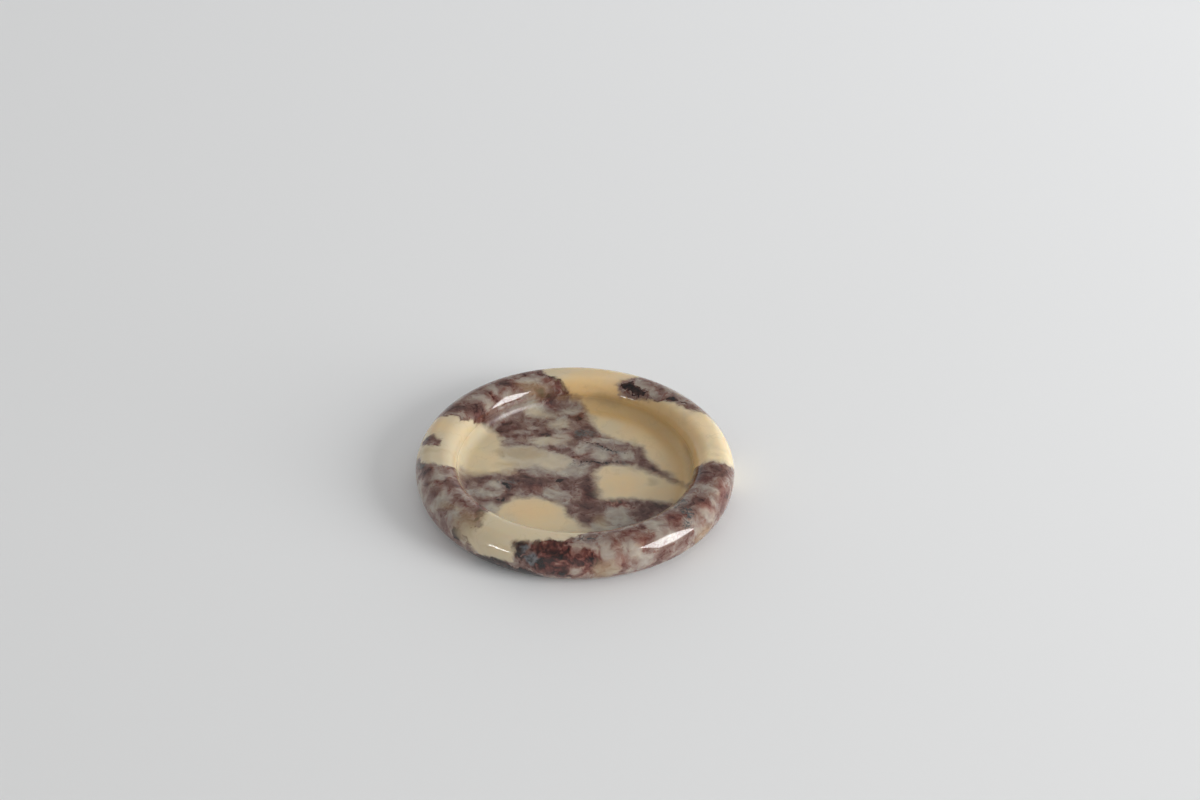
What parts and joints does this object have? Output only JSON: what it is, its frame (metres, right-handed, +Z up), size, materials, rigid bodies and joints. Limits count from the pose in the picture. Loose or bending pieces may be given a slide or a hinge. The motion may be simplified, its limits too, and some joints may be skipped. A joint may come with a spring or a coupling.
{
  "type": "stone tray",
  "caption": "Small round marble tray with a full-round rim, a flat recessed well for keys, rings or soap, and soft pads under it.",
  "frame": {"origin": "on the tray's axis, on the surface that the pads stand on", "axes": "+Z up along the tray's axis; the tray is round, so only the pads set X and Y: they lie on the diagonals, and -Y faces the picture's camera"},
  "size_m": [0.15, 0.15, 0.021],
  "materials": {
    "marble": "polished",
    "silicone": "matte translucent"
  },
  "bodies": {
    "root": {"tray_body": "marble", "pad_1": "silicone", "pad_2": "silicone", "pad_3": "silicone", "pad_4": "silicone"}
  },
  "joints": []
}
